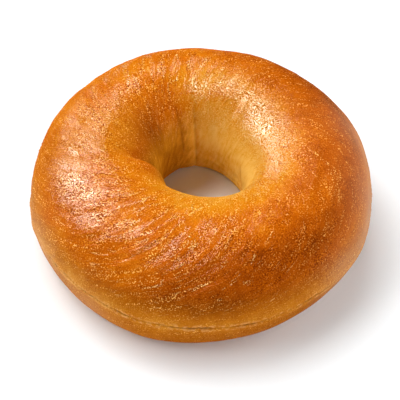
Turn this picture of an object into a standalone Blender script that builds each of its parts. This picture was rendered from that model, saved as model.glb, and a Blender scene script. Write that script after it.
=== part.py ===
"""A plain whole bagel: one solid ring of baked dough, lying on its flat base.

The ring is swept from an upright section that changes gently on its way round, so that the
outline, the hole and the height are as uneven as hand-rolled dough. A seam runs low round the
side, where the crust split, and a few creases are pulled into the wall of the hole.
The front of the bagel is at -Y and its longest side runs along X.
"""

import math

import bpy

# Driving dimensions, in metres.
OUTER_RADIUS = 0.0525
HOLE_RADIUS = 0.0140
HEIGHT = 0.0379

# The upright section of the ring.
CROWN_SHARE = 0.50        # where the top lies, as a share of the way from the hole to the outside
OUTER_WAIST = 0.0130      # height of the widest point of the outer side
HOLE_WAIST = 0.0160       # height of the narrowest point of the hole
OUTER_TUCK = 0.0080       # how far the outer side turns under before it meets the base
HOLE_TUCK = 0.0060        # how far the wall of the hole turns out before it meets the base
OUTER_CROWN_POWER = 2.25  # 2 makes a quarter a plain ellipse, more makes it squarer
HOLE_CROWN_POWER = 2.1
OUTER_FOOT_POWER = 2.1
HOLE_FOOT_POWER = 2.2

# Unevenness round the ring: (waves in one turn, cosine part, sine part), in metres.
FRONT_SWELL = 0.0034      # extra thickness at the front of the ring, taken off its back
OUTER_LOBES = (
    (1, 0.0, -FRONT_SWELL),
    (2, 0.0008, 0.0001),
    (3, 0.0002, 0.0),
    (4, 0.0002, 0.0),
    (5, -0.0001, -0.0002),
)
HOLE_LOBES = ((1, 0.0004, -0.0001), (2, -0.0008, -0.0010), (3, 0.0001, -0.0006))
HEIGHT_LOBES = ((1, -0.0003, -0.0007), (2, 0.0001, 0.0001))

# The seam where the crust split: it is highest at the front left and lowest at the front right.
SEAM_HEIGHT = 0.0130
SEAM_LOBES = ((1, -0.0011, -0.0011), (2, -0.0005, 0.0009))
SEAM_HALF_WIDTH = 0.0007
SEAM_DEPTH = 0.0004
SEAM_DEPTH_LOBES = ((1, 0.0, -0.0002),)

# Creases in the wall of the hole: (azimuth, half width, depth). A negative depth is a bulge.
CREASES = (
    (math.radians(95), math.radians(4.0), 0.0008),
    (math.radians(117), math.radians(4.5), 0.0007),
    (math.radians(186), math.radians(10.0), 0.0007),
    (math.radians(209), math.radians(13.0), -0.0007),
)

# How finely the faces follow the shape.
AROUND = 100
LIP_STEPS = 4
SIDE_STEPS = 12
HOLE_CROWN_STEPS = 9
HOLE_FOOT_STEPS = 6
BASE_STEPS = 2

CRUST_COLOUR = (0.62, 0.23, 0.035, 1.0)
CRUST_ROUGHNESS = 0.38

RIGHT_ANGLE = math.pi / 2


def uneven(mean, lobes, azimuth):
    """A length that swells and shrinks round the ring."""
    extra = sum(c * math.cos(n * azimuth) + s * math.sin(n * azimuth) for n, c, s in lobes)
    return mean + extra


def crease_depth(azimuth):
    """How far the wall of the hole is pulled in from its even shape."""
    total = 0.0
    for middle, half_width, depth in CREASES:
        off = math.remainder(azimuth - middle, math.tau) / half_width
        total += depth * math.exp(-off * off)
    return total


def quarter(angle, power):
    """The two unit legs, across and up, of a rounded quarter at an angle between 0 and 90 degrees."""
    across = max(math.cos(angle), 0.0) ** (2 / power)
    up = max(math.sin(angle), 0.0) ** (2 / power)
    return across, up


def spread(start, end, steps):
    """Evenly spaced values from start up to, but not including, end."""
    return [start + (end - start) * i / steps for i in range(steps)]


def outer_angle(height, top):
    """The angle at which the outer side passes a height: below zero on the foot, above on the crown."""
    if height < OUTER_WAIST:
        share = (OUTER_WAIST - height) / OUTER_WAIST
        return -math.asin(share ** (OUTER_FOOT_POWER / 2))
    share = (height - OUTER_WAIST) / (top - OUTER_WAIST)
    return math.asin(share ** (OUTER_CROWN_POWER / 2))


def outer_side(angle, outer, crown, top):
    """The (radius, height) point of the outer side at an angle from -90 at the base to 90 at the top."""
    if angle < 0:
        across, up = quarter(-angle, OUTER_FOOT_POWER)
        return outer - OUTER_TUCK * (1 - across), OUTER_WAIST * (1 - up)
    across, up = quarter(angle, OUTER_CROWN_POWER)
    return crown + (outer - crown) * across, OUTER_WAIST + (top - OUTER_WAIST) * up


def hole_side(angle, hole, crown, top, crease):
    """The (radius, height) point of the wall of the hole at an angle from 90 at the top to -90."""
    if angle < 0:
        across, up = quarter(-angle, HOLE_FOOT_POWER)
        return hole + HOLE_TUCK * (1 - across) + crease * across, HOLE_WAIST * (1 - up)
    across, up = quarter(angle, HOLE_CROWN_POWER)
    radius = crown - (crown - hole) * across + crease * across ** 2
    return radius, HOLE_WAIST + (top - HOLE_WAIST) * up


def section(azimuth):
    """The (radius, height) points of the ring's section, as a closed loop.

    The loop starts where the outer side leaves the base. It goes up over the seam to the top,
    down the wall of the hole and back along the base."""
    outer = uneven(OUTER_RADIUS, OUTER_LOBES, azimuth)
    hole = uneven(HOLE_RADIUS, HOLE_LOBES, azimuth)
    top = uneven(HEIGHT, HEIGHT_LOBES, azimuth)
    seam = uneven(SEAM_HEIGHT, SEAM_LOBES, azimuth)
    crown = hole + CROWN_SHARE * (outer - hole)
    crease = crease_depth(azimuth)

    lip = outer_angle(seam - SEAM_HALF_WIDTH, top)
    side = outer_angle(seam + SEAM_HALF_WIDTH, top)
    points = [outer_side(a, outer, crown, top) for a in spread(-RIGHT_ANGLE, lip, LIP_STEPS)]
    points.append(outer_side(lip, outer, crown, top))
    seam_radius, seam_height = outer_side(outer_angle(seam, top), outer, crown, top)
    points.append((seam_radius - uneven(SEAM_DEPTH, SEAM_DEPTH_LOBES, azimuth), seam_height))
    points += [outer_side(a, outer, crown, top) for a in spread(side, RIGHT_ANGLE, SIDE_STEPS)]

    down = spread(RIGHT_ANGLE, 0.0, HOLE_CROWN_STEPS) + spread(0.0, -RIGHT_ANGLE, HOLE_FOOT_STEPS)
    points += [hole_side(a, hole, crown, top, crease) for a in down]
    points += [(r, 0.0) for r in spread(hole + HOLE_TUCK, outer - OUTER_TUCK, BASE_STEPS)]
    return points


def ring_mesh(name):
    """The closed mesh of the bagel, centred over the origin with its base at zero height."""
    vertices = []
    for azimuth in spread(0.0, math.tau, AROUND):
        for radius, height in section(azimuth):
            vertices.append((radius * math.cos(azimuth), radius * math.sin(azimuth), height))
    middle_x = (min(v[0] for v in vertices) + max(v[0] for v in vertices)) / 2
    middle_y = (min(v[1] for v in vertices) + max(v[1] for v in vertices)) / 2
    vertices = [(x - middle_x, y - middle_y, z) for x, y, z in vertices]

    loop = len(vertices) // AROUND
    faces = []
    for i in range(AROUND):
        here = i * loop
        there = (i + 1) % AROUND * loop
        for k in range(loop):
            after = (k + 1) % loop
            faces.append((here + k, there + k, there + after, here + after))

    mesh = bpy.data.meshes.new(name)
    mesh.from_pydata(vertices, [], faces)
    mesh.shade_smooth()
    return mesh


def crust_material():
    """Glossy golden-brown crust."""
    material = bpy.data.materials.new("crust")
    material.use_nodes = True
    shader = material.node_tree.nodes["Principled BSDF"]
    shader.inputs["Base Color"].default_value = CRUST_COLOUR
    shader.inputs["Roughness"].default_value = CRUST_ROUGHNESS
    shader.inputs["Metallic"].default_value = 0.0
    return material


for old in list(bpy.data.objects):
    bpy.data.objects.remove(old)

bagel = bpy.data.objects.new("bagel", ring_mesh("bagel"))
bagel.data.materials.append(crust_material())
bpy.context.collection.objects.link(bagel)
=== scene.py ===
import math

import bpy
import numpy as np
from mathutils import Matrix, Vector, noise


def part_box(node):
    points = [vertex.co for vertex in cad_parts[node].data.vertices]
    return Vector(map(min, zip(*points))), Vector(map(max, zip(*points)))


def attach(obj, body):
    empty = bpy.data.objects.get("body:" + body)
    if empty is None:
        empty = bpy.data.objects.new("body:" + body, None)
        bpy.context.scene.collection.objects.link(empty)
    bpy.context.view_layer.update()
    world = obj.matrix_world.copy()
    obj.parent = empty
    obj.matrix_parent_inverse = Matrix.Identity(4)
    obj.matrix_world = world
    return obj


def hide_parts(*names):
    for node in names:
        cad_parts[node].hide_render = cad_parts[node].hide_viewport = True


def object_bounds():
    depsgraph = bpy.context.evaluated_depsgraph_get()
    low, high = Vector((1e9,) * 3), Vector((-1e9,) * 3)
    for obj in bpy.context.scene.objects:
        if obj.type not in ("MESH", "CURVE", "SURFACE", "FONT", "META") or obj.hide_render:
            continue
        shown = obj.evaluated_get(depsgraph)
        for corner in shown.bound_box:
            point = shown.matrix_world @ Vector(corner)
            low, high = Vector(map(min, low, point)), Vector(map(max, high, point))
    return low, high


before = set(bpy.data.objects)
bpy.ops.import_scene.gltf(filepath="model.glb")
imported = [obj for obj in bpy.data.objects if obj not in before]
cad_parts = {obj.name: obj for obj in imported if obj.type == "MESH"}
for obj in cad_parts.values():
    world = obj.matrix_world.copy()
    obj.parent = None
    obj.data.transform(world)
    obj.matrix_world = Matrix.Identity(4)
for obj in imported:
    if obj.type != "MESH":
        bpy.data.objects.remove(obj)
cadLow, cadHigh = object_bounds()
print("frame loaded, bagel box", [round(v, 4) for v in cadHigh - cadLow])

mm = 0.001
rightAngle = math.pi / 2

# The ring of dough. Lengths are in millimetres, lobes are (waves in one turn, cosine part, sine part).
ring = {
    "outerRadius": 52.5,
    "holeRadius": 14.0,
    "height": 37.9,
    "crownShare": 0.50,       # where the top lies between the hole and the outside
    "outerWaist": 13.0,       # height of the widest point
    "holeWaist": 16.0,
    "outerTuck": 8.0,         # how far the side turns under before it meets the base
    "holeTuck": 6.0,
    "outerCrownPower": 2.25,  # 2 is a plain ellipse, more is squarer
    "holeCrownPower": 2.1,
    "outerFootPower": 2.1,
    "holeFootPower": 2.2,
    "outerLobes": [(1, 0.0, -3.4), (2, 0.8, 0.1), (3, 0.2, 0.0), (4, 0.2, 0.0), (5, -0.1, -0.2)],
    "holeLobes": [(1, 0.4, -0.1), (2, -0.8, -1.0), (3, 0.1, -0.6)],
    "heightLobes": [(1, -0.3, -0.7), (2, 0.1, 0.1)],
    "seamHeight": 13.0,
    "seamLobes": [(1, -1.1, -1.1), (2, -0.5, 0.9)],
    "seamWander": [(9, 0.35), (40, 0.18), (85, 0.12)],   # how closely it wanders round the ring, how far
    "seamZone": 1.8,          # half the height of the finely meshed band along the seam
    "around": 520,            # columns of faces round the ring
    "footRows": 10,
    "seamRows": 22,
    "sideRows": 66,
    "wallRows": 72,
    "baseRows": 12,
}

# Creases pulled into the wall of the hole: azimuth and half width in degrees, depth in millimetres.
creases = [
    {"azimuth": 96, "halfWidth": 4.0, "depth": 0.7},
    {"azimuth": 113, "halfWidth": 4.5, "depth": 0.6},
    {"azimuth": 186, "halfWidth": 10.0, "depth": 0.7},
    {"azimuth": 209, "halfWidth": 13.0, "depth": -0.7},
]


def uneven(mean, lobes, azimuth):
    total = mean + 0 * azimuth
    for waves, cosPart, sinPart in lobes:
        total = total + cosPart * np.cos(waves * azimuth) + sinPart * np.sin(waves * azimuth)
    return total


def fade(off):
    # 1 in the middle, falling softly to 0 on both sides
    return np.exp(-off ** 2)


def turnsApart(azimuth, middle):
    # signed angle from a middle in degrees, wrapped to half a turn
    off = np.degrees(azimuth) - middle
    return (off + 180) % 360 - 180


def quarter(angle, power):
    # how far across and up a quarter of a rounded outline has come at an angle
    across = np.maximum(np.cos(angle), 0) ** (2 / power)
    up = np.maximum(np.sin(angle), 0) ** (2 / power)
    return across, up


def outerAngle(height, top):
    # the angle at which the outer side passes a height, below zero on the foot
    waist = ring["outerWaist"]
    foot = np.clip((waist - height) / waist, 0, 1) ** (ring["outerFootPower"] / 2)
    crown = np.clip((height - waist) / (top - waist), 0, 1) ** (ring["outerCrownPower"] / 2)
    return np.arcsin(crown) - np.arcsin(foot)


def outerSide(angle, outer, crown, top):
    waist = ring["outerWaist"]
    footAcross, footUp = quarter(-angle, ring["outerFootPower"])
    across, up = quarter(angle, ring["outerCrownPower"])
    foot = outer - ring["outerTuck"] * (1 - footAcross)
    radius = np.where(angle < 0, foot, crown + (outer - crown) * across)
    height = np.where(angle < 0, waist * (1 - footUp), waist + (top - waist) * up)
    return radius, height


def holeSide(angle, hole, crown, top, crease):
    waist = ring["holeWaist"]
    footAcross, footUp = quarter(-angle, ring["holeFootPower"])
    across, up = quarter(angle, ring["holeCrownPower"])
    foot = hole + ring["holeTuck"] * (1 - footAcross) + crease * footAcross
    radius = np.where(angle < 0, foot, crown - (crown - hole) * across + crease * across ** 2)
    height = np.where(angle < 0, waist * (1 - footUp), waist + (top - waist) * up)
    return radius, height


def steps(start, end, count):
    # evenly spaced rows from start up to, but not including, end
    return start + (end - start) * (np.arange(count) / count)[None, :]


def evenSteps(side, start, end, count):
    # rows at even distances along one side of the mean section
    angles = np.linspace(start, end, 2000)
    radius, height = side(angles)
    length = np.concatenate([[0], np.cumsum(np.hypot(np.diff(radius), np.diff(height)))])
    return np.interp(np.arange(count) / count * length[-1], length, angles)[None, :]


def smoothStep(low, high, value):
    t = np.clip((value - low) / (high - low), 0, 1)
    return t * t * (3 - 2 * t)


def makeForm():
    azimuth = (np.arange(ring["around"]) / ring["around"] * math.tau)[:, None]
    outer = uneven(ring["outerRadius"], ring["outerLobes"], azimuth)
    hole = uneven(ring["holeRadius"], ring["holeLobes"], azimuth)
    top = uneven(ring["height"], ring["heightLobes"], azimuth)
    crown = hole + ring["crownShare"] * (outer - hole)
    crease = 0 * azimuth
    for fold in creases:
        crease = crease + fold["depth"] * fade(turnsApart(azimuth, fold["azimuth"]) / fold["halfWidth"])

    # the seam wanders a little on its way round
    seam = uneven(ring["seamHeight"], ring["seamLobes"], azimuth)
    for i in range(ring["around"]):
        spot = Vector((math.cos(azimuth[i, 0]), math.sin(azimuth[i, 0]), 0))
        seam[i, 0] += sum(reach * noise.noise(spot * closeness) for closeness, reach in ring["seamWander"])
    lipEnd = outerAngle(seam - ring["seamZone"], top)
    sideStart = outerAngle(seam + ring["seamZone"], top)

    meanCrown = ring["holeRadius"] + ring["crownShare"] * (ring["outerRadius"] - ring["holeRadius"])
    share = evenSteps(
        lambda a: outerSide(a, ring["outerRadius"], meanCrown, ring["height"]),
        outerAngle(ring["seamHeight"] + ring["seamZone"], ring["height"]), rightAngle, ring["sideRows"])
    share = (share - share[0, 0]) / (rightAngle - share[0, 0])
    wall = evenSteps(
        lambda a: holeSide(a, ring["holeRadius"], meanCrown, ring["height"], 0),
        rightAngle, -rightAngle, ring["wallRows"])

    footRows = steps(-rightAngle, lipEnd, ring["footRows"])
    seamHeights = steps(seam - ring["seamZone"], seam + ring["seamZone"], ring["seamRows"])
    seamRows = outerAngle(seamHeights, top)
    sideRows = sideStart + (rightAngle - sideStart) * share
    outside = outerSide(np.concatenate([footRows, seamRows, sideRows], 1), outer, crown, top)
    inside = holeSide(wall + 0 * azimuth, hole, crown, top, crease)
    baseRadius = steps(hole + ring["holeTuck"], outer - ring["outerTuck"], ring["baseRows"])
    radius = np.concatenate([outside[0], inside[0], baseRadius], 1)
    height = np.concatenate([outside[1], inside[1], 0 * baseRadius], 1)

    # arc length across the section, from the crown: positive outwards, negative into the hole
    lengths = np.hypot(np.diff(radius, axis=1), np.diff(height, axis=1))
    length = np.concatenate([0 * azimuth, np.cumsum(lengths, 1)], 1)
    crownRow = ring["footRows"] + ring["seamRows"] + ring["sideRows"]
    across = length[:, crownRow:crownRow + 1] - length
    azimuth = azimuth + 0 * radius
    points = np.stack([radius * np.cos(azimuth), radius * np.sin(azimuth), height], -1)
    return {
        "points": points, "azimuth": azimuth, "height": height, "across": across,
        "seam": seam, "crownRow": crownRow,
    }


def surfaceNormals(points):
    around = np.roll(points, -1, 0) - np.roll(points, 1, 0)
    along = np.roll(points, -1, 1) - np.roll(points, 1, 1)
    normal = np.cross(around, along)
    return normal / np.maximum(np.linalg.norm(normal, axis=-1, keepdims=True), 1e-9)


def noiseField(places, scale, seed):
    # smooth noise read at each place, where scale is the size of a lump
    shift = Vector((seed * 17.3, seed * 5.1, seed * 11.7))
    flat = (places / scale).reshape(-1, 3)
    values = np.array([noise.noise(Vector(p) + shift) for p in flat])
    return values.reshape(places.shape[:-1])


def roundRing(table, bands, azimuth, across):
    # reads a table with one row for each azimuth and one column for each band across the ring
    turns = np.array([row[0] for row in table] + [360 + table[0][0]])
    degrees = np.degrees(azimuth) % 360
    place = np.clip(np.searchsorted(turns, degrees, side="right") - 1, 0, len(table) - 1)
    share = smoothStep(0, 1, (degrees - turns[place]) / (turns[place + 1] - turns[place]))
    columns = []
    for i in range(len(bands)):
        values = np.array([row[i + 1] for row in table] + [table[0][i + 1]])
        columns.append(values[place] * (1 - share) + values[place + 1] * share)
    total = columns[0]
    for i in range(1, len(bands)):
        total = total + (columns[i] - columns[i - 1]) * smoothStep(bands[i - 1], bands[i], across)
    return total


# How the skin of the dough was pulled: azimuth, then the angle of the wrinkles from straight across the
# ring, in degrees, on the hole's side, on the crown and on the outer side.
flowBands = (-20, 2, 24)
flow = [
    (0, -20, -60, -85),
    (30, -5, -20, -75),
    (50, 0, -5, -60),
    (80, -30, -42, -70),
    (100, -10, -20, -60),
    (135, -20, -55, -75),
    (165, -20, -50, -82),
    (200, -20, -35, -60),
    (240, -20, -30, -55),
    (270, -35, -42, -66),
    (300, -50, -66, -75),
    (330, -40, -75, -88),
]

# A flat chart of the ring's skin: the azimuth goes round, the distance from the crown goes across.
chart = {"around": 900, "low": -48.0, "high": 62.0, "across": 300}


def readChart(field, azimuth, across):
    # values of a chart field between its points
    count, rows = field.shape
    u = (azimuth / math.tau * count) % count
    v = (across - chart["low"]) / (chart["high"] - chart["low"]) * (rows - 1)
    v = np.clip(v, 0, rows - 1.001)      # leaves a row above the last one that is read
    u0, v0 = np.floor(u).astype(int) % count, np.floor(v).astype(int)
    fu, fv = u - np.floor(u), v - v0
    u1 = (u0 + 1) % count
    lower = field[u0, v0] * (1 - fu) + field[u1, v0] * fu
    upper = field[u0, v0 + 1] * (1 - fu) + field[u1, v0 + 1] * fu
    return lower * (1 - fv) + upper * fv


def wrinkleChart(width, length, seed):
    # noise drawn out along the flow of the skin, with a mean of 0 and a spread of 1
    count, rows = chart["around"], chart["across"]
    azimuth = (np.arange(count) / count * math.tau)[:, None] + np.zeros((1, rows))
    across = np.linspace(chart["low"], chart["high"], rows)[None, :] + np.zeros((count, 1))
    middle = (ring["outerRadius"] + ring["holeRadius"]) / 2
    # the radius grows more slowly than the distance across, as the section is round
    radius = np.clip(middle + across * 0.75, ring["holeRadius"], ring["outerRadius"])
    field = np.random.default_rng(seed).standard_normal((count, rows))
    angle = np.radians(roundRing(flow, flowBands, azimuth, across))

    def draw(values, reach, turned, samples):
        # averages the noise along a direction
        total, weight = 0, 0
        for step in np.linspace(-1, 1, samples):
            share = math.exp(-2.5 * step * step)      # the nearer ones count more
            sideways = step * reach * np.sin(turned) / radius
            outwards = step * reach * np.cos(turned)
            total = total + share * readChart(values, azimuth + sideways, across + outwards)
            weight += share
        return total / weight

    field = draw(field, width, angle + rightAngle, samples=9)
    field = draw(field, length, angle, samples=27)
    return (field - field.mean()) / field.std()


# Distances across from the crown, in millimetres: positive outwards, negative into the hole.
wallBegins = -2
outsideBegins = 8
farOff = 99                   # stands for a place nowhere near the seam

# Relief on the crust, in millimetres.
crustRelief = {
    "lumpSize": 26.0, "lumpHeight": 0.72,
    "dimpleSize": 9.0, "dimpleHeight": 0.224,
    "wrinkles": [
        # width, length, height, how far they gather in patches, seed
        (2.4, 13.0, 0.085, 0.7, 4),
        (1.3, 7.0, 0.050, 0.6, 5),
    ],
    "patchSize": 13, "patchRange": (-0.25, 0.35),
    "front": 246, "frontTurn": 42, "frontWrinkles": 1.9,   # the wrinkles are strongest round this azimuth
    "rimFade": (-22, -9), "sideFade": (34, 42),            # they fade out between these, across the ring
    "ridgeWidth": 0.8, "ridgeLength": 6.0, "ridgeHeight": 0.30,   # sharp lines standing up here and there
    "ridgeRange": (0.9, 2.2), "ridgeSeed": 31,
    "ridgesElsewhere": 0.25,  # how high they stand away from the front
    "pitCount": 70, "pitDepth": 0.16, "pitRadius": 0.9,
    "pitSpread": (0.5, 1.6), "depthSpread": (0.4, 1.0),    # from the least to the most of both
    "sunkShare": 0.6,         # the rest are blisters, which stand up instead
    "blisterHeight": 0.8,     # next to a pit's depth
    "seed": 7,
    "footFade": 2.5,          # nothing moves on the base, and everything does from this height
}

# The seam: a thin crack with a soft raised band on both sides, in millimetres.
seamRelief = {
    "depth": 0.42, "halfWidth": 0.22,
    "gapSize": 6, "gapRange": (-0.25, 0.25), "gapDepth": 0.35,     # where the crack nearly closes
    "frontRange": (-0.6, 0.5), "backDepth": 0.45,                  # it is weaker at the back
    "bandHeight": 0.24, "bandOffset": 1.0, "bandWidth": 0.8,
    "crackSpread": 1.3,       # how much wider its dark line is than the crack
    "paleOffset": 0.75, "paleWidth": 0.5,
    "softOffset": 0.5, "softWidth": 2.6,
}

# Lines pulled into the wall of the hole, sharper than the creases they lie in: azimuth at the middle height
# and half width in degrees, lean in degrees for each millimetre up, depth and the heights of both ends in
# millimetres, and how much painted shade lies along it.
wallMiddle = 20
wallLines = [
    {"azimuth": 96.3, "lean": 0.07, "halfWidth": 1.2, "depth": 0.26, "bottom": 3, "top": 29, "shade": 0.25},
    {"azimuth": 112.4, "lean": 0.21, "halfWidth": 1.3, "depth": 0.28, "bottom": 12, "top": 31, "shade": 0.3},
    {"azimuth": 137, "lean": 0.5, "halfWidth": 1.1, "depth": 0.22, "bottom": 24, "top": 32, "shade": 0.4},
    {"azimuth": 14, "lean": 0.3, "halfWidth": 2.2, "depth": 0.40, "bottom": 2, "top": 18, "shade": 0.1},
]

# A shallow crease that runs round the wall, low in the hole.
wallCrease = {
    "height": 10.5, "drift": 2.0, "driftSize": 12,
    "halfWidth": 0.7, "depth": 0.35,
    "middle": 65, "turn": 55, "turnFade": 12,      # its middle, its reach to both sides and its ends
}

# Swellings and hollows round the rim of the hole: azimuth in degrees, millimetres across from the crown,
# reach round in degrees, reach across and height in millimetres.
rimFolds = [
    (209, -17, 10, 8, 1.5),
    (191, -19, 8, 9, -1.8),
    (58, -13, 5, 7, -0.35),
]


def addRelief(form):
    relief = crustRelief
    points, azimuth, height, across = form["points"], form["azimuth"], form["height"], form["across"]
    lift = relief["lumpHeight"] * noiseField(points, relief["lumpSize"], 1)
    lift += relief["dimpleHeight"] * noiseField(points, relief["dimpleSize"], 2)

    # wrinkles follow the flow of the skin, gather in patches and fade out in the hole and low on the side
    skin = smoothStep(*relief["rimFade"], across) * (1 - smoothStep(*relief["sideFade"], across))
    frontness = fade(turnsApart(azimuth, relief["front"]) / relief["frontTurn"])
    for width, length, rise, gather, seed in relief["wrinkles"]:
        patches = smoothStep(*relief["patchRange"], noiseField(points, relief["patchSize"], seed + 20))
        patchy = 1 - gather + gather * 2 * patches
        patchy = patchy * (1 - frontness) + relief["frontWrinkles"] * frontness
        lift += rise * readChart(wrinkleChart(width, length, seed), azimuth, across) * skin * patchy

    # a few sharper ridges, most of them at the front
    sharp = wrinkleChart(relief["ridgeWidth"], relief["ridgeLength"], relief["ridgeSeed"])
    sharp = smoothStep(*relief["ridgeRange"], readChart(sharp, azimuth, across))
    elsewhere = relief["ridgesElsewhere"]
    lift += relief["ridgeHeight"] * sharp * skin * (elsewhere + (1 - elsewhere) * frontness)

    for middle, band, turn, reach, rise in rimFolds:
        lift += rise * fade(turnsApart(azimuth, middle) / turn) * fade((across - band) / reach)

    lift += wallRelief(form)
    lift += seamLift(form)
    lift += pitLift(form)
    lift *= smoothStep(0.0, relief["footFade"], height)
    form["points"] = points + lift[..., None] * surfaceNormals(points)
    return form


def wallRelief(form):
    # the lines and the crease in the wall of the hole
    azimuth, height = form["azimuth"], form["height"]
    isWall = form["across"] < wallBegins
    lift = 0 * height
    form["fold"] = 0 * height
    for line in wallLines:
        middle = line["azimuth"] + line["lean"] * (height - wallMiddle)
        profile = fade(turnsApart(azimuth, middle) / line["halfWidth"]) * isWall
        profile = profile * smoothStep(line["bottom"] - 2, line["bottom"] + 2, height)
        profile = profile * (1 - smoothStep(line["top"] - 3, line["top"] + 2, height))
        lift -= line["depth"] * profile
        # painted shade along each line
        form["fold"] = np.maximum(form["fold"], line["shade"] * profile)

    crease = wallCrease
    low = crease["height"] + crease["drift"] * noiseField(form["points"], crease["driftSize"], 41)
    turned = np.abs(turnsApart(azimuth, crease["middle"]))
    ends = smoothStep(crease["turn"] + crease["turnFade"], crease["turn"], turned)
    return lift - crease["depth"] * fade((height - low) / crease["halfWidth"]) * ends * isWall


def seamLift(form):
    # the crack and its bands, and how strongly their colours show: painted shade in the crack, a painted
    # highlight along its edges
    seam = seamRelief
    isOutside = form["across"] > outsideBegins
    fromSeam = np.where(isOutside, form["height"] - form["seam"], farOff)
    opened = smoothStep(*seam["gapRange"], noiseField(form["points"], seam["gapSize"], 6))
    broken = seam["gapDepth"] + (1 - seam["gapDepth"]) * opened
    frontness = smoothStep(*seam["frontRange"], -np.sin(form["azimuth"]))
    strength = seam["backDepth"] + (1 - seam["backDepth"]) * frontness
    form["seamCrack"] = fade(fromSeam / (seam["halfWidth"] * seam["crackSpread"])) * broken * strength
    form["seamBand"] = fade((fromSeam - seam["softOffset"]) / seam["softWidth"]) * strength
    form["seamPale"] = fade((np.abs(fromSeam) - seam["paleOffset"]) / seam["paleWidth"]) * strength
    bands = seam["bandHeight"] * fade((np.abs(fromSeam) - seam["bandOffset"]) / seam["bandWidth"])
    return bands * strength - seam["depth"] * fade(fromSeam / seam["halfWidth"]) * broken * strength


def pitLift(form):
    # small pits and blisters, strewn over the crown, the outer side and the top of the wall
    relief = crustRelief
    points = form["points"]
    lift = 0 * form["across"]
    chance = np.random.default_rng(relief["seed"])
    for _ in range(relief["pitCount"]):
        column = chance.integers(0, points.shape[0])
        row = chance.integers(ring["footRows"], form["crownRow"] + ring["wallRows"] // 2)
        size = relief["pitRadius"] * chance.uniform(*relief["pitSpread"])
        away = np.linalg.norm(points - points[column, row], axis=-1)
        sign = -1 if chance.random() < relief["sunkShare"] else relief["blisterHeight"]
        lift += sign * relief["pitDepth"] * chance.uniform(*relief["depthSpread"]) * fade(away / size)
    return lift


# The map that the fine streaks of the finish are laid on, in millimetres across from the crown, and how
# far they slant from straight across the ring, in degrees, before and after they turn over.
streakMap = {"low": -60, "high": 70, "rows": 400, "slant": 28, "sideSlant": 58, "turnsOver": (2, 26)}


def streakPlaces(form):
    # places on the ring turned so that the flow of the skin runs straight across them
    middle = (ring["outerRadius"] + ring["holeRadius"]) / 2
    across = form["across"]
    table = np.linspace(streakMap["low"], streakMap["high"], streakMap["rows"])
    steeper = (streakMap["sideSlant"] - streakMap["slant"]) * smoothStep(*streakMap["turnsOver"], table)
    slant = np.tan(np.radians(streakMap["slant"] + steeper))
    drift = np.cumsum(slant) * (table[1] - table[0])
    drift -= np.interp(0, table, drift)
    turned = form["azimuth"] + np.interp(across, table, drift) / middle
    return np.stack([middle * np.cos(turned), middle * np.sin(turned), across], -1)


# How the crust has browned, with painted light and shade worked in: paler and yellower where the lights fall
# strongly, darker and redder on the shaded sides. From 0 for pale to 1 for dark: azimuth, then the value
# deep in the hole, round its rim, on the inner crown, the crown, the outer crown, the outer side and low
# down.
browningAndShadeBands = (-34, -18, -8, 1, 14, 25, 34)
browningAndShade = [
    (0, 0.02, 0.15, 0.38, 0.68, 0.80, 0.42, 0.36),
    (30, 0.10, 0.05, 0.34, 0.66, 0.84, 0.56, 0.40),
    (60, 0.10, 0.14, 0.28, 0.67, 0.76, 0.55, 0.42),
    (90, 0.12, 0.16, 0.26, 0.54, 0.62, 0.50, 0.42),
    (120, 0.55, 0.58, 0.60, 0.52, 0.57, 0.50, 0.42),
    (150, 0.66, 0.74, 0.54, 0.46, 0.52, 0.52, 0.46),
    (180, 0.64, 0.56, 0.46, 0.42, 0.52, 0.52, 0.42),
    (210, 0.55, 0.60, 0.50, 0.54, 0.70, 0.53, 0.30),
    (240, 0.32, 0.36, 0.45, 0.54, 0.62, 0.62, 0.35),
    (270, 0.25, 0.12, 0.32, 0.53, 0.78, 0.86, 0.48),
    (300, 0.12, 0.06, 0.30, 0.58, 0.79, 0.78, 0.44),
    (330, 0.05, 0.12, 0.36, 0.67, 0.73, 0.58, 0.42),
]
toasting = {
    "lip": 0.10,              # how much darker it is below the seam
    "lipRange": (0.5, 2.5),   # how far below, in millimetres
    "band": 0.10,             # how much paler it is beside the seam
    "mottleSize": 11.0,
    "mottle": 0.13,
}


def toastAndShadeMap(form):
    across, azimuth, points = form["across"], form["azimuth"], form["points"]
    # the browning table brings in painted light and shade as well as the toasting
    toastAndShade = roundRing(browningAndShade, browningAndShadeBands, azimuth, across)
    toastAndShade += toasting["mottle"] * noiseField(points, toasting["mottleSize"], 8)
    toastAndShade -= toasting["band"] * form["seamBand"]
    lip = smoothStep(*toasting["lipRange"], form["seam"] - form["height"])
    toastAndShade += toasting["lip"] * lip * (across > outsideBegins)
    return np.clip(toastAndShade, 0, 1)


def addSpots(field, spots, form):
    # soft round spots: azimuth, millimetres across from the crown, reach, amount
    middle = (ring["outerRadius"] + ring["holeRadius"]) / 2
    for azimuth, across, reach, amount in spots:
        sideways = np.radians(turnsApart(form["azimuth"], azimuth)) * (middle + 0.7 * across)
        field = field + amount * np.exp(-(sideways ** 2 + (form["across"] - across) ** 2) / reach ** 2)
    return field


# Bare crust, deep in the hole and low on the side, and as soft round spots. The spots at 188, 30 and 65
# degrees sit under the bright highlights and give the crust there a yellower, less red base, a painted
# highlight tint; the one at 165 degrees is bare crust at the top of the wall.
baringAndHighlightTint = {
    "holeFade": (-30, -15),
    "sideFade": (20, 31), "sideBare": 0.8,
    "spots": [(188, 9, 12, 0.5), (30, -11, 10, 0.6), (65, -9, 8, 0.5), (165, -14, 10, 0.6)],
}


def bareAndHighlightTintMap(form):
    # 0 where the crust is glazed orange, 1 where it is bare or carries the painted highlight tint
    across = form["across"]
    glazed = smoothStep(*baringAndHighlightTint["holeFade"], across)
    glazed = glazed * (1 - baringAndHighlightTint["sideBare"] * smoothStep(*baringAndHighlightTint["sideFade"], across))
    return np.clip(addSpots(1 - glazed, baringAndHighlightTint["spots"], form), 0, 1)


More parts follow.
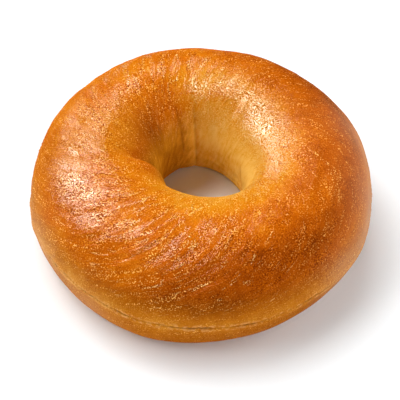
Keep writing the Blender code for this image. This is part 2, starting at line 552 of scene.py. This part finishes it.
# The glaze brushed on the crust, from 0 for matt to 1 for glossy: azimuth, then the glaze at each band.
glazeBands = (-24, -14, -8, -2, 5, 12, 20, 34)
glazing = [
    (0, 0.08, 0.88, 0.55, 0.10, 0.05, 0.06, 0.22, 0.90),
    (30, 0.04, 0.85, 0.68, 0.08, 0.04, 0.06, 0.10, 0.50),
    (60, 0.02, 0.50, 0.95, 0.18, 0.08, 0.05, 0.05, 0.15),
    (90, 0.02, 0.25, 1.00, 0.65, 0.22, 0.06, 0.04, 0.05),
    (120, 0.02, 0.10, 0.35, 0.60, 0.42, 0.08, 0.04, 0.05),
    (150, 0.02, 0.05, 0.25, 0.80, 0.60, 0.06, 0.04, 0.05),
    (180, 0.02, 0.05, 0.30, 1.00, 0.85, 0.06, 0.06, 0.30),
    (210, 0.02, 0.05, 0.25, 0.85, 1.00, 0.65, 0.10, 0.35),
    (240, 0.02, 0.05, 0.15, 0.75, 1.00, 0.62, 0.12, 0.12),
    (270, 0.02, 0.10, 0.12, 0.34, 0.60, 0.30, 0.05, 0.08),
    (300, 0.05, 0.28, 0.42, 0.18, 0.18, 0.16, 0.10, 0.15),
    (330, 0.08, 0.90, 0.80, 0.14, 0.06, 0.05, 0.15, 0.60),
]
glazePatch = {"size": 7.0, "unevenness": 0.5}


def glazeMap(form):
    glaze = roundRing(glazing, glazeBands, form["azimuth"], form["across"])
    patchy = noiseField(form["points"], glazePatch["size"], 9)
    return np.clip(glaze * (1 + glazePatch["unevenness"] * patchy), 0, 1)


# Where the skin is drawn into fine ridges, mostly at the front and the back.
ridging = {
    "patches": [(258, 38, 1.0), (110, 45, 0.9)],      # azimuth, reach in degrees, amount
    "everywhere": 0.12,
    "rimFade": (-16, -6), "sideFade": (27, 33),
}


def ridgeMap(form):
    total = ridging["everywhere"]
    for azimuth, reach, amount in ridging["patches"]:
        total = total + amount * fade(turnsApart(form["azimuth"], azimuth) / reach)
    skin = smoothStep(*ridging["rimFade"], form["across"])
    skin = skin * (1 - smoothStep(*ridging["sideFade"], form["across"]))
    return np.clip(total, 0, 1) * skin


# The upper wall of the hole, at the back, where pale runs are painted as highlight streaks.
rimHighlightPatch = {"azimuth": 85, "turn": 60, "across": -20, "reach": 7}


def rimHighlightMap(form):
    band = fade((form["across"] - rimHighlightPatch["across"]) / rimHighlightPatch["reach"])
    return band * fade(turnsApart(form["azimuth"], rimHighlightPatch["azimuth"]) / rimHighlightPatch["turn"])


# A painted sheen low on the side, paler and less red, where the grazing edge reflects the bright floor, as
# soft round spots: azimuth, across from the crown, reach, amount.
paleSheenSpots = [
    (345, 30, 13, 0.55), (8, 24, 12, 0.5), (322, 36, 10, 0.25),
    (205, 40, 12, 0.35), (232, 44, 10, 0.25),
]

# Where the golden dots, painted glints, gather or thin out, as soft round spots on an even scatter.
evenDots, mostDots = 0.4, 1.3
dottySpots = [
    (270, -11, 11, 0.7), (225, -10, 10, 0.8), (300, -10, 9, 0.5), (190, 24, 12, 0.8), (222, 24, 12, 0.6),
    (130, -8, 10, 0.6), (100, 8, 12, 0.4), (60, 6, 10, 0.4), (345, 4, 12, 0.3), (255, 18, 12, 0.5),
    (292, 24, 12, -0.3),
]

# Where the yellower wall of the hole begins, across from the crown, and how high the underside reaches.
wallFade = (-28, -15)
undersideFade = (0.2, 3.0)


def spotMap(spots, least, most, form):
    return np.clip(addSpots(least + 0 * form["across"], spots, form), 0, most)


def setAttribute(mesh, name, values, kind="FLOAT"):
    layer = mesh.attributes.new(name, kind, "POINT")
    field = "vector" if kind == "FLOAT_VECTOR" else "value"
    layer.data.foreach_set(field, np.ascontiguousarray(values, np.float32).ravel())


def makeBagel():
    form = makeForm()
    columns, rows = form["azimuth"].shape
    # the smooth form stands in the middle of the CAD box
    low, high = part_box("bagel")
    smooth = form["points"].reshape(-1, 3) * mm
    centre = (smooth.max(0) + smooth.min(0)) / 2
    target = (np.array(low) + np.array(high)) / 2
    shift = np.array([target[0] - centre[0], target[1] - centre[1], low[2]])
    form = addRelief(form)
    vertices = form["points"].reshape(-1, 3) * mm + shift

    here = np.arange(columns)[:, None] * rows
    there = (np.arange(columns)[:, None] + 1) % columns * rows
    row = np.arange(rows)[None, :]
    after = (row + 1) % rows
    faces = np.stack([here + row, there + row, there + after, here + after], -1).reshape(-1, 4)

    mesh = bpy.data.meshes.new("bagelCrust")
    mesh.from_pydata(vertices.tolist(), [], faces.tolist())
    mesh.shade_smooth()
    maps = {
        "toastAndShade": toastAndShadeMap(form),
        "crack": form["seamCrack"],
        "fold": form["fold"],
        "seamPale": form["seamPale"],
        "rimHighlight": rimHighlightMap(form),
        "dotty": spotMap(dottySpots, evenDots, mostDots, form),
        "ridged": ridgeMap(form),
        "paleSheen": spotMap(paleSheenSpots, 0, 1, form),
        "wall": 1 - smoothStep(*wallFade, form["across"]),
        "glaze": glazeMap(form),
        "bareAndHighlightTint": bareAndHighlightTintMap(form),
        "underside": 1 - smoothStep(*undersideFade, form["height"]),
    }
    for name, values in maps.items():
        setAttribute(mesh, name, values)
    setAttribute(mesh, "streak", streakPlaces(form), "FLOAT_VECTOR")
    piece = bpy.data.objects.new("bagelCrust", mesh)
    bpy.context.collection.objects.link(piece)
    print("bagel made:", len(vertices), "points,", 2 * len(faces), "triangles")
    return piece


# The glazed crust: colours from pale dough to dark crust, then the gloss and the grain. Sizes are in
# millimetres, and a streak has a width and a length along the flow of the skin. A range holds the value
# of a noise at which a mark begins to show and the value at which it shows fully.
crustFinish = {
    "glazedColours": [
        (0.00, (0.688, 0.375, 0.093)),
        (0.15, (0.672, 0.314, 0.039)),
        (0.30, (0.640, 0.235, 0.009)),
        (0.45, (0.608, 0.168, 0.003)),
        (0.60, (0.520, 0.110, 0.002)),
        (0.75, (0.400, 0.073, 0.001)),
        (0.90, (0.276, 0.046, 0.001)),
        (1.00, (0.184, 0.028, 0.001)),
    ],
    "bareColours": [
        (0.00, (0.672, 0.356, 0.101)),
        (0.20, (0.608, 0.235, 0.023)),
        (0.40, (0.464, 0.144, 0.008)),
        (0.60, (0.352, 0.099, 0.004)),
        (0.80, (0.264, 0.070, 0.003)),
        (1.00, (0.192, 0.047, 0.002)),
    ],
    "wallColours": [
        (0.00, (0.882, 0.538, 0.110)),
        (0.20, (0.800, 0.404, 0.040)),
        (0.40, (0.615, 0.269, 0.017)),
        (0.60, (0.450, 0.178, 0.007)),
        (0.80, (0.332, 0.117, 0.003)),
        (1.00, (0.235, 0.079, 0.002)),
    ],
    "crackShadeColour": (0.24, 0.095, 0.014, 1.0), "crackGapSize": 1.5, "crackRange": (0.36, 0.54),
    "seamEdgeHighlightColour": (0.73, 0.36, 0.11, 1.0), "edgeHighlightTint": 0.7,
    "paleGapSize": 1.3, "paleRange": (0.40, 0.70),
    "foldShadeColour": (0.20, 0.075, 0.006, 1.0), "foldShadeTint": 0.8,
    "paleSheenColour": (0.69, 0.37, 0.205, 1.0),
    "roughness": 0.55, "dullness": 0.25,                   # the wall of the hole and the base are rougher
    "specular": 0.0,                                       # all of the gloss comes from the glaze
    "coat": 1.0, "coatRoughness": 0.16, "coatIor": 1.35,
    "glazePits": (0.41, 0.54),                             # the glaze misses the hollows of the grain
    "glazeStreaks": (2.4, 9.0), "glazeBreaks": (0.46, 0.56), "breakDepth": 0.96,
    "grainSize": 0.40, "grainDepth": 0.10,
    "lumpScale": 2.4, "lumpHeight": 0.5,                   # a coarser grain under the fine one
    "speckle": 1.75, "speckleGlaze": (-0.42, 0.7),         # dark hollows, most of them where it is glazed
    "speckleGroups": (2.6, 5.0), "groupRange": (0.38, 0.62), "speckleLeast": 0.35,
    "wallSpeckle": 0.5, "bareSpeckle": 0.8,                # how much of it is left in these places
    "blotchSize": 3.2, "blotch": 0.32,
    "mottleSize": (2.2, 4.0), "wallMottle": 0.55,
    "glintDotColour": (1.0, 0.55, 0.12, 1.0), "dotRange": (0.58, 0.71), "glintDots": 1.0,
    "stringSize": (1.3, 6.0), "stringRange": (0.49, 0.62), "looseDots": 0.12,     # most dots lie in strings
    "wallDotLoss": 0.7, "glazeDotLoss": 0.75,
    "dripHighlightColour": (0.88, 0.51, 0.15, 1.0),                 # pale runs down the wall of the hole, painted highlight streaks
    "dripSize": (1.3, 3.0), "dripRange": (0.52, 0.64), "dripHighlights": 0.28,
    "lineGlintColour": (1.0, 0.54, 0.13, 1.0), "lineGlintTint": 0.9, "lineGlaze": 1.0,
    "lineSize": (2.3, 10.0), "lineWidth": 0.026, "lineHeight": 1.7,
    "lineGapSize": 4.0, "lineRange": (0.50, 0.60), "lineGrain": (0.43, 0.55),
    "streakSize": (1.1, 5.0), "streakHeight": 2.3,
}


def crustMaterial():
    look = crustFinish
    material = bpy.data.materials.new("glazedCrust")
    material.use_nodes = True
    tree = material.node_tree
    shader = tree.nodes["Principled BSDF"]

    def node(kind, **values):
        made = tree.nodes.new(kind)
        for key, value in values.items():
            if hasattr(made, key):
                setattr(made, key, value)
            else:
                made.inputs[key.replace("_", " ")].default_value = value
        return made

    def link(out, into):
        tree.links.new(out, into)

    def maths(operation, first, second):
        made = node("ShaderNodeMath", operation=operation)
        for slot, value in enumerate((first, second)):
            if isinstance(value, (int, float)):
                made.inputs[slot].default_value = value
            else:
                link(value, made.inputs[slot])
        return made.outputs[0]

    def plus(first, second):
        return maths("ADD", first, second)

    def times(first, second):
        return maths("MULTIPLY", first, second)

    def centred(value):
        return maths("SUBTRACT", value, 0.5)

    def without(value, share=1.0):
        # 1 less a share of the value
        return maths("SUBTRACT", 1.0, times(value, share))

    def attribute(name, output="Fac"):
        return node("ShaderNodeAttribute", attribute_name=name).outputs[output]

    def ranged(value, low, high, top=1.0):
        # 0 up to low, then rising softly to top at high
        made = node("ShaderNodeMapRange", interpolation_type="SMOOTHSTEP")
        link(value, made.inputs["Value"])
        made.inputs["From Min"].default_value = low
        made.inputs["From Max"].default_value = high
        made.inputs["To Max"].default_value = top
        return made.outputs["Result"]

    def grain(size, detail):
        made = node("ShaderNodeTexNoise", Scale=1 / (size * mm), Detail=detail)
        link(place, made.inputs["Vector"])
        return made.outputs["Fac"]

    def streaks(width, length):
        # noise drawn out along the flow of the skin
        scaled = node("ShaderNodeVectorMath", operation="MULTIPLY")
        link(attribute("streak", "Vector"), scaled.inputs[0])
        scaled.inputs[1].default_value = (1 / width, 1 / width, 1 / length)
        made = node("ShaderNodeTexNoise", Scale=1.0, Detail=2.0)
        link(scaled.outputs[0], made.inputs["Vector"])
        return made.outputs["Fac"]

    def colourBands(colours):
        ramp = node("ShaderNodeValToRGB")
        bands = ramp.color_ramp.elements
        bands[0].position, bands[1].position = colours[0][0], colours[-1][0]
        for position, _ in colours[1:-1]:
            bands.new(position)
        for band, (_, colour) in zip(bands, colours):
            band.color = (*colour, 1.0)
        link(brownedAndShaded, ramp.inputs["Fac"])
        return ramp.outputs["Color"]

    def mixed(amount, first, second):
        made = node("ShaderNodeMix", data_type="RGBA")
        for socket, value in zip((0, 6, 7), (amount, first, second)):    # the sockets for colours
            if isinstance(value, tuple):
                made.inputs[socket].default_value = value
            else:
                link(value, made.inputs[socket])
        return made.outputs[2]

    # one grain drives the colour, the gloss and the bump
    place = node("ShaderNodeTexCoord").outputs["Object"]
    fine = grain(look["grainSize"], 0.0)
    inWall, bareAndTinted, ridged = attribute("wall"), attribute("bareAndHighlightTint"), attribute("ridged")

    # the glaze is broken into streaks where the skin is ridged
    unbroken = ranged(streaks(*look["glazeStreaks"]), *look["glazeBreaks"])
    broken = times(without(unbroken), ridged)
    glazed = times(attribute("glaze"), without(broken, look["breakDepth"]))

    # the hollows of the grain are browner, in smooth and pitted patches
    least = look["speckleLeast"]
    grouped = ranged(streaks(*look["speckleGroups"]), *look["groupRange"], 1 - least)
    speckled = times(maths("SUBTRACT", 0.5, fine), look["speckle"])
    speckled = times(speckled, ranged(glazed, *look["speckleGlaze"]))
    speckled = times(speckled, plus(least, grouped))
    speckled = times(speckled, without(inWall, 1 - look["wallSpeckle"]))
    speckled = times(speckled, without(bareAndTinted, 1 - look["bareSpeckle"]))
    blotched = times(centred(grain(look["blotchSize"], 3.0)), look["blotch"])
    mottled = times(centred(streaks(*look["mottleSize"])), look["wallMottle"])
    # the browning, with its painted light and shade, picks the colour from the ramps
    brownedAndShaded = plus(plus(attribute("toastAndShade"), speckled), blotched)
    brownedAndShaded = plus(brownedAndShaded, times(mottled, inWall))

    # thin lines stand up along the flow, broken into short lengths
    offLine = maths("ABSOLUTE", centred(streaks(*look["lineSize"])), 0.0)
    lines = without(ranged(offLine, 0.0, look["lineWidth"]))
    lines = times(lines, ranged(grain(look["lineGapSize"], 1.0), *look["lineRange"]))
    lines = times(lines, ranged(fine, *look["lineGrain"]))
    lines = times(lines, ridged)

    # the wall of the hole is yellower than the crown, with pale runs painted at its top as highlight streaks
    # the bare palette also gives the painted highlight tint under the bright highlights
    skin = mixed(bareAndTinted, colourBands(look["glazedColours"]), colourBands(look["bareColours"]))
    skin = mixed(inWall, skin, colourBands(look["wallColours"]))
    dripHighlights = times(ranged(streaks(*look["dripSize"]), *look["dripRange"]), look["dripHighlights"])
    skin = mixed(times(dripHighlights, attribute("rimHighlight")), skin, look["dripHighlightColour"])

    # painted glints: golden dots where the grain stands highest, and golden lines along the ridges
    strung = plus(look["looseDots"], ranged(streaks(*look["stringSize"]), *look["stringRange"]))
    strung = times(strung, attribute("dotty"))
    glintDots = times(ranged(fine, *look["dotRange"]), times(strung, look["glintDots"]))
    glintDots = times(glintDots, without(inWall, look["wallDotLoss"]))
    glintDots = times(glintDots, without(glazed, look["glazeDotLoss"]))
    skin = mixed(glintDots, skin, look["glintDotColour"])
    skin = mixed(times(lines, look["lineGlintTint"]), skin, look["lineGlintColour"])

    # a painted sheen low on the side, painted shade in the folds, then the seam's pale edges, painted as a
    # highlight, and the painted shade of its crack
    skin = mixed(attribute("paleSheen"), skin, look["paleSheenColour"])
    skin = mixed(times(attribute("fold"), look["foldShadeTint"]), skin, look["foldShadeColour"])
    pale = ranged(grain(look["paleGapSize"], 2.0), *look["paleRange"], look["edgeHighlightTint"])
    skin = mixed(times(attribute("seamPale"), pale), skin, look["seamEdgeHighlightColour"])
    crack = ranged(grain(look["crackGapSize"], 2.0), *look["crackRange"])
    skin = mixed(times(attribute("crack"), crack), skin, look["crackShadeColour"])
    link(skin, shader.inputs["Base Color"])

    # the grain, the streaks and the lines are a fine bump
    height = plus(fine, times(grain(look["grainSize"] * look["lumpScale"], 1.0), look["lumpHeight"]))
    height = plus(height, times(times(streaks(*look["streakSize"]), look["streakHeight"]), ridged))
    height = plus(height, times(lines, look["lineHeight"]))
    bump = node("ShaderNodeBump", Strength=1.0, Distance=look["grainDepth"] * mm)
    link(height, bump.inputs["Height"])
    link(bump.outputs["Normal"], shader.inputs["Normal"])
    link(bump.outputs["Normal"], shader.inputs["Coat Normal"])

    dull = maths("MAXIMUM", inWall, attribute("underside"))
    link(plus(look["roughness"], times(dull, look["dullness"])), shader.inputs["Roughness"])
    glaze = maths("MAXIMUM", glazed, times(lines, look["lineGlaze"]))
    glaze = times(glaze, ranged(fine, *look["glazePits"], look["coat"]))
    link(glaze, shader.inputs["Coat Weight"])
    shader.inputs["Coat Roughness"].default_value = look["coatRoughness"]
    shader.inputs["Coat IOR"].default_value = look["coatIor"]
    shader.inputs["Specular IOR Level"].default_value = look["specular"]
    return material


# The studio. Each light has an azimuth and an elevation in degrees, a distance, a width, a height, a
# brightness, and how it counts: "soft" for the matt shading only, "shine" for the gloss only.
studio = {
    "floorSize": 2.4,
    "floorColour": (0.91, 0.94, 0.96, 1.0), "floorRoughness": 0.9,
    "backdropColour": (1.0, 1.0, 1.0, 1.0),
    "skyStrength": 0.09,
    "shineColour": (0.90, 0.985, 0.86),
    "lights": [
        ("keyLight", 160, 51, 2.5, 2.60, 1.30, 4.9, "soft"),
        ("keyShine", 162, 34, 2.5, 1.50, 2.00, 33.0, "shine"),
        ("topShine", 120, 57, 2.5, 2.60, 1.00, 26.0, "shine"),
        ("frontShine", 234, 69, 2.5, 1.50, 1.30, 25.0, "shine"),
        ("glintShine", 264, 47, 2.5, 1.00, 0.90, 30.0, "shine"),
        ("lowShine", 127, 14, 2.5, 1.40, 1.10, 13.5, "shine"),
        ("backLight", 112, 62, 2.5, 1.60, 1.30, 4.8, "soft"),
        ("rightFill", 5, 36, 2.5, 2.50, 1.00, 3.4, "soft"),
        ("frontFill", 295, 36, 2.5, 2.20, 1.20, 1.8, "soft"),
        ("lowFill", 255, 9, 2.5, 3.60, 0.70, 1.9, "soft"),
    ],
}


def makeFloor():
    half, base = studio["floorSize"] / 2, cadLow[2]
    corners = [(-half, -half, base), (half, -half, base), (half, half, base), (-half, half, base)]
    mesh = bpy.data.meshes.new("floor")
    mesh.from_pydata(corners, [], [(0, 1, 2, 3)])
    floor = bpy.data.objects.new("floor", mesh)
    bpy.context.collection.objects.link(floor)
    paper = bpy.data.materials.new("paper")
    paper.use_nodes = True
    shader = paper.node_tree.nodes["Principled BSDF"]
    shader.inputs["Base Color"].default_value = studio["floorColour"]
    shader.inputs["Roughness"].default_value = studio["floorRoughness"]
    shader.inputs["Specular IOR Level"].default_value = 0.0
    mesh.materials.append(paper)


def makeBackdrop():
    # the backdrop is white to the camera, while the room round the bagel stays dim
    world = bpy.data.worlds.new("studio")
    bpy.context.scene.world = world
    world.use_nodes = True
    tree = world.node_tree
    room = tree.nodes["Background"]
    room.inputs["Color"].default_value = studio["backdropColour"]
    room.inputs["Strength"].default_value = studio["skyStrength"]
    backdrop = tree.nodes.new("ShaderNodeBackground")
    backdrop.inputs["Color"].default_value = studio["backdropColour"]
    chosen = tree.nodes.new("ShaderNodeMixShader")
    rays = tree.nodes.new("ShaderNodeLightPath")
    tree.links.new(rays.outputs["Is Camera Ray"], chosen.inputs[0])
    tree.links.new(room.outputs[0], chosen.inputs[1])
    tree.links.new(backdrop.outputs[0], chosen.inputs[2])
    tree.links.new(chosen.outputs[0], tree.nodes["World Output"].inputs["Surface"])


def makeLights():
    for name, azimuth, elevation, distance, width, height, brightness, counts in studio["lights"]:
        lamp = bpy.data.lights.new(name, "AREA")
        lamp.shape = "RECTANGLE"
        lamp.size = width
        lamp.size_y = height
        lamp.energy = brightness * math.pi * width * height
        if counts == "shine":
            lamp.color = studio["shineColour"]
        light = bpy.data.objects.new(name, lamp)
        light.visible_glossy = counts != "soft"
        light.visible_diffuse = counts != "shine"
        turn, rise = math.radians(azimuth), math.radians(elevation)
        away = Vector((math.cos(turn) * math.cos(rise), math.sin(turn) * math.cos(rise), math.sin(rise)))
        light.location = away * distance
        light.rotation_euler = away.to_track_quat("Z", "Y").to_euler()
        bpy.context.collection.objects.link(light)


# The camera looks down on the bagel from the front: degrees and metres, then the lens in millimetres.
viewpoint = {
    "elevation": 50.65,
    "distance": 0.400,
    "target": (-0.0004, -0.0065, 0.0184),
    "lens": 116.05, "sensor": 36.0,
}


def makeCamera():
    rise = math.radians(viewpoint["elevation"])
    back = Vector((0.0, -math.cos(rise), math.sin(rise)))
    data = bpy.data.cameras.new("camera")
    data.lens = viewpoint["lens"]
    data.sensor_width = viewpoint["sensor"]
    camera = bpy.data.objects.new("camera", data)
    camera.location = Vector(viewpoint["target"]) + back * viewpoint["distance"]
    camera.rotation_euler = back.to_track_quat("Z", "Y").to_euler()
    bpy.context.collection.objects.link(camera)
    bpy.context.scene.camera = camera
    print("camera made")


bagel = makeBagel()
bagel.data.materials.append(crustMaterial())
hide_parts("bagel")
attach(bagel, "root")

makeFloor()
makeBackdrop()
makeLights()
bpy.context.scene.view_settings.view_transform = "Standard"
print("studio made:", len(studio["lights"]), "lights")
makeCamera()
